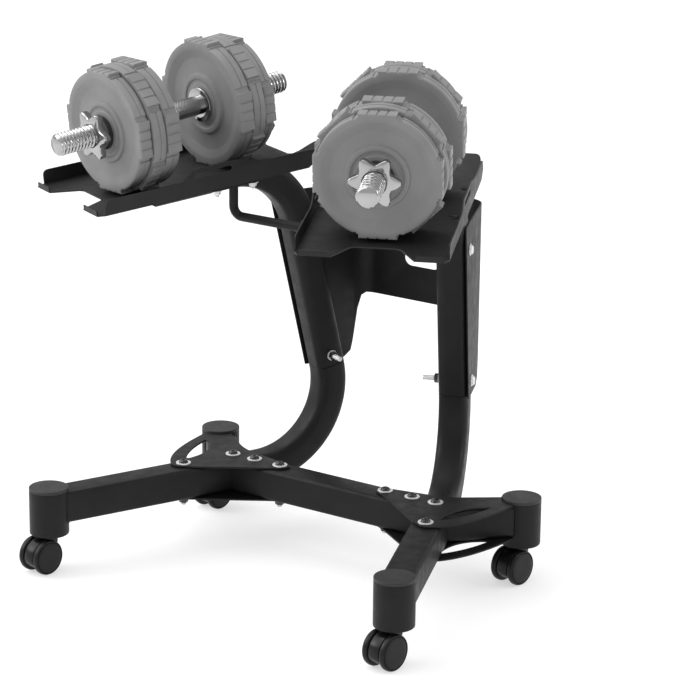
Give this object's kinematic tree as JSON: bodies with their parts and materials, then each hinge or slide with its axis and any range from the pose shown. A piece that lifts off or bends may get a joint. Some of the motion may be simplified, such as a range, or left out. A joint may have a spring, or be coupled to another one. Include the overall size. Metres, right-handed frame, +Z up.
{
  "type": "adjustable dumbbell set on wheeled stand",
  "caption": "Wheeled steel stand with two tilted trays, a carry handle and a back panel, holding a pair of adjustable dumbbells with screw-on plates.",
  "frame": {"origin": "on the floor, under the middle of the whole object", "axes": "+X right along the base beam, +Y to the back, where the panel is, +Z up; the long legs and the low ends of the trays point to -Y"},
  "size_m": [0.7444, 0.6084, 0.8277],
  "materials": {
    "powder_coat": "satin black powder coat",
    "cap_plastic": "fine-grained black plastic",
    "caster_plastic": "smooth black nylon",
    "wheel_plastic": "smooth black nylon tread",
    "zinc": "bright zinc plate",
    "chrome": "polished chrome plate",
    "plate_plastic": "matt moulded charcoal plastic",
    "rubber": "matt black rubber"
  },
  "bodies": {
    "stand": {"base_beam": "powder_coat", "front_leg_right": "powder_coat", "front_leg_left": "powder_coat", "back_leg_right": "powder_coat", "back_leg_left": "powder_coat", "front_leg_cap_right": "cap_plastic", "front_leg_cap_left": "cap_plastic", "back_leg_cap_right": "cap_plastic", "back_leg_cap_left": "cap_plastic", "gusset_top_right": "powder_coat", "gusset_top_left": "powder_coat", "gusset_bottom_right": "powder_coat", "gusset_bottom_left": "powder_coat", "gusset_bolt_a_right": "zinc", "gusset_bolt_a_left": "zinc", "gusset_bolt_b_right": "zinc", "gusset_bolt_b_left": "zinc", "gusset_bolt_c_right": "zinc", "gusset_bolt_c_left": "zinc", "gusset_bolt_d_right": "zinc", "gusset_bolt_d_left": "zinc", "lower_post_right": "powder_coat", "lower_post_left": "powder_coat", "upper_post_right": "powder_coat", "upper_post_left": "powder_coat", "tray_right": "powder_coat", "tray_left": "powder_coat", "back_panel": "powder_coat", "carry_handle": "powder_coat"},
    "caster_front_right": {"caster_body_front_right": "caster_plastic"},
    "wheels_front_right": {"caster_wheels_front_right": "wheel_plastic"},
    "caster_front_left": {"caster_body_front_left": "caster_plastic"},
    "wheels_front_left": {"caster_wheels_front_left": "wheel_plastic"},
    "caster_back_right": {"caster_body_back_right": "caster_plastic"},
    "wheels_back_right": {"caster_wheels_back_right": "wheel_plastic"},
    "caster_back_left": {"caster_body_back_left": "caster_plastic"},
    "wheels_back_left": {"caster_wheels_back_left": "wheel_plastic"},
    "dumbbell_right": {"dumbbell_bar_right": "chrome"},
    "ring_back_right": {"lock_ring_back_right": "rubber"},
    "star_back_right": {"star_nut_back_right": "chrome"},
    "plate_inner_back_right": {"plate_inner_back_right": "plate_plastic"},
    "plate_middle_back_right": {"plate_middle_back_right": "plate_plastic"},
    "plate_outer_back_right": {"plate_outer_back_right": "plate_plastic"},
    "ring_front_right": {"lock_ring_front_right": "rubber"},
    "star_front_right": {"star_nut_front_right": "chrome"},
    "plate_inner_front_right": {"plate_inner_front_right": "plate_plastic"},
    "plate_middle_front_right": {"plate_middle_front_right": "plate_plastic"},
    "plate_outer_front_right": {"plate_outer_front_right": "plate_plastic"},
    "dumbbell_left": {"dumbbell_bar_left": "chrome"},
    "ring_back_left": {"lock_ring_back_left": "rubber"},
    "star_back_left": {"star_nut_back_left": "chrome"},
    "plate_inner_back_left": {"plate_inner_back_left": "plate_plastic"},
    "plate_middle_back_left": {"plate_middle_back_left": "plate_plastic"},
    "plate_outer_back_left": {"plate_outer_back_left": "plate_plastic"},
    "ring_front_left": {"lock_ring_front_left": "rubber"},
    "star_front_left": {"star_nut_front_left": "chrome"},
    "plate_inner_front_left": {"plate_inner_front_left": "plate_plastic"},
    "plate_middle_front_left": {"plate_middle_front_left": "plate_plastic"},
    "plate_outer_front_left": {"plate_outer_front_left": "plate_plastic"}
  },
  "joints": [
    {"name": "caster_swivel_front_right", "type": "hinge", "parent": "stand", "child": "caster_front_right", "pos_m": [0.325, -0.25226, 0.055], "axis": [0, 0, 1], "continuous": true},
    {"name": "wheel_roll_front_right", "type": "hinge", "parent": "caster_front_right", "child": "wheels_front_right", "pos_m": [0.32252, -0.2711, 0.028], "axis": [0.9914, -0.1305, 0], "continuous": true},
    {"name": "caster_swivel_front_left", "type": "hinge", "parent": "stand", "child": "caster_front_left", "pos_m": [-0.325, -0.25226, 0.055], "axis": [0, 0, 1], "continuous": true},
    {"name": "wheel_roll_front_left", "type": "hinge", "parent": "caster_front_left", "child": "wheels_front_left", "pos_m": [-0.32748, -0.2711, 0.028], "axis": [0.9914, -0.1305, 0], "continuous": true},
    {"name": "caster_swivel_back_right", "type": "hinge", "parent": "stand", "child": "caster_back_right", "pos_m": [0.2928, 0.14884, 0.055], "axis": [0, 0, 1], "continuous": true},
    {"name": "wheel_roll_back_right", "type": "hinge", "parent": "caster_back_right", "child": "wheels_back_right", "pos_m": [0.29032, 0.13, 0.028], "axis": [0.9914, -0.1305, 0], "continuous": true},
    {"name": "caster_swivel_back_left", "type": "hinge", "parent": "stand", "child": "caster_back_left", "pos_m": [-0.2928, 0.14884, 0.055], "axis": [0, 0, 1], "continuous": true},
    {"name": "wheel_roll_back_left", "type": "hinge", "parent": "caster_back_left", "child": "wheels_back_left", "pos_m": [-0.29528, 0.13, 0.028], "axis": [0.9914, -0.1305, 0], "continuous": true},
    {"name": "dumbbell_lift_right", "type": "slide", "parent": "stand", "child": "dumbbell_right", "axis": [0, 0, 1], "range_m": [0, 0.25]},
    {"name": "ring_slide_back_right", "type": "slide", "parent": "dumbbell_right", "child": "ring_back_right", "axis": [-0.4203, 0.9013, 0.1045], "range_m": [0, 0.0421]},
    {"name": "star_spin_back_right", "type": "hinge", "parent": "ring_back_right", "child": "star_back_right", "pos_m": [0.14019, 0.03695, 0.73522], "axis": [-0.4203, 0.9013, 0.1045], "range_deg": [0, 2520]},
    {"name": "plate_slide_inner_back_right", "type": "slide", "parent": "dumbbell_right", "child": "plate_inner_back_right", "axis": [-0.4203, 0.9013, 0.1045], "range_m": [0, 0.0101]},
    {"name": "plate_slide_middle_back_right", "type": "slide", "parent": "dumbbell_right", "child": "plate_middle_back_right", "axis": [-0.4203, 0.9013, 0.1045], "range_m": [0, 0.0201]},
    {"name": "plate_slide_outer_back_right", "type": "slide", "parent": "dumbbell_right", "child": "plate_outer_back_right", "axis": [-0.4203, 0.9013, 0.1045], "range_m": [0, 0.0301]},
    {"name": "ring_slide_front_right", "type": "slide", "parent": "dumbbell_right", "child": "ring_front_right", "axis": [0.4203, -0.9013, -0.1045], "range_m": [0, 0.0421]},
    {"name": "star_spin_front_right", "type": "hinge", "parent": "ring_front_right", "child": "star_front_right", "pos_m": [0.26208, -0.22444, 0.70491], "axis": [0.4203, -0.9013, -0.1045], "range_deg": [0, 2520]},
    {"name": "plate_slide_inner_front_right", "type": "slide", "parent": "dumbbell_right", "child": "plate_inner_front_right", "axis": [0.4203, -0.9013, -0.1045], "range_m": [0, 0.0101]},
    {"name": "plate_slide_middle_front_right", "type": "slide", "parent": "dumbbell_right", "child": "plate_middle_front_right", "axis": [0.4203, -0.9013, -0.1045], "range_m": [0, 0.0201]},
    {"name": "plate_slide_outer_front_right", "type": "slide", "parent": "dumbbell_right", "child": "plate_outer_front_right", "axis": [0.4203, -0.9013, -0.1045], "range_m": [0, 0.0301]},
    {"name": "dumbbell_lift_left", "type": "slide", "parent": "stand", "child": "dumbbell_left", "axis": [0, 0, 1], "range_m": [0, 0.25]},
    {"name": "ring_slide_back_left", "type": "slide", "parent": "dumbbell_left", "child": "ring_back_left", "axis": [0.2565, 0.961, 0.1029], "range_m": [0, 0.0421]},
    {"name": "star_spin_back_left", "type": "hinge", "parent": "ring_back_left", "child": "star_back_left", "pos_m": [-0.16394, 0.0456, 0.73499], "axis": [0.2565, 0.961, 0.1029], "range_deg": [0, 2520]},
    {"name": "plate_slide_inner_back_left", "type": "slide", "parent": "dumbbell_left", "child": "plate_inner_back_left", "axis": [0.2565, 0.961, 0.1029], "range_m": [0, 0.0101]},
    {"name": "plate_slide_middle_back_left", "type": "slide", "parent": "dumbbell_left", "child": "plate_middle_back_left", "axis": [0.2565, 0.961, 0.1029], "range_m": [0, 0.0201]},
    {"name": "plate_slide_outer_back_left", "type": "slide", "parent": "dumbbell_left", "child": "plate_outer_back_left", "axis": [0.2565, 0.961, 0.1029], "range_m": [0, 0.0301]},
    {"name": "ring_slide_front_left", "type": "slide", "parent": "dumbbell_left", "child": "ring_front_left", "axis": [-0.2565, -0.961, -0.1029], "range_m": [0, 0.0421]},
    {"name": "star_spin_front_left", "type": "hinge", "parent": "ring_front_left", "child": "star_front_left", "pos_m": [-0.23834, -0.2331, 0.70514], "axis": [-0.2565, -0.961, -0.1029], "range_deg": [0, 2520]},
    {"name": "plate_slide_inner_front_left", "type": "slide", "parent": "dumbbell_left", "child": "plate_inner_front_left", "axis": [-0.2565, -0.961, -0.1029], "range_m": [0, 0.0101]},
    {"name": "plate_slide_middle_front_left", "type": "slide", "parent": "dumbbell_left", "child": "plate_middle_front_left", "axis": [-0.2565, -0.961, -0.1029], "range_m": [0, 0.0201]},
    {"name": "plate_slide_outer_front_left", "type": "slide", "parent": "dumbbell_left", "child": "plate_outer_front_left", "axis": [-0.2565, -0.961, -0.1029], "range_m": [0, 0.0301]}
  ],
  "couplings": [
    {"joint": "ring_slide_back_right", "follows": "star_spin_back_right", "m_per_rad": 0.0009548},
    {"joint": "plate_slide_inner_back_right", "follows": "star_spin_back_right", "m_per_rad": 0.0002273},
    {"joint": "plate_slide_middle_back_right", "follows": "star_spin_back_right", "m_per_rad": 0.0004546},
    {"joint": "plate_slide_outer_back_right", "follows": "star_spin_back_right", "m_per_rad": 0.000682},
    {"joint": "ring_slide_front_right", "follows": "star_spin_front_right", "m_per_rad": 0.0009548},
    {"joint": "plate_slide_inner_front_right", "follows": "star_spin_front_right", "m_per_rad": 0.0002273},
    {"joint": "plate_slide_middle_front_right", "follows": "star_spin_front_right", "m_per_rad": 0.0004546},
    {"joint": "plate_slide_outer_front_right", "follows": "star_spin_front_right", "m_per_rad": 0.000682},
    {"joint": "ring_slide_back_left", "follows": "star_spin_back_left", "m_per_rad": 0.0009548},
    {"joint": "plate_slide_inner_back_left", "follows": "star_spin_back_left", "m_per_rad": 0.0002273},
    {"joint": "plate_slide_middle_back_left", "follows": "star_spin_back_left", "m_per_rad": 0.0004546},
    {"joint": "plate_slide_outer_back_left", "follows": "star_spin_back_left", "m_per_rad": 0.000682},
    {"joint": "ring_slide_front_left", "follows": "star_spin_front_left", "m_per_rad": 0.0009548},
    {"joint": "plate_slide_inner_front_left", "follows": "star_spin_front_left", "m_per_rad": 0.0002273},
    {"joint": "plate_slide_middle_front_left", "follows": "star_spin_front_left", "m_per_rad": 0.0004546},
    {"joint": "plate_slide_outer_front_left", "follows": "star_spin_front_left", "m_per_rad": 0.000682}
  ]
}
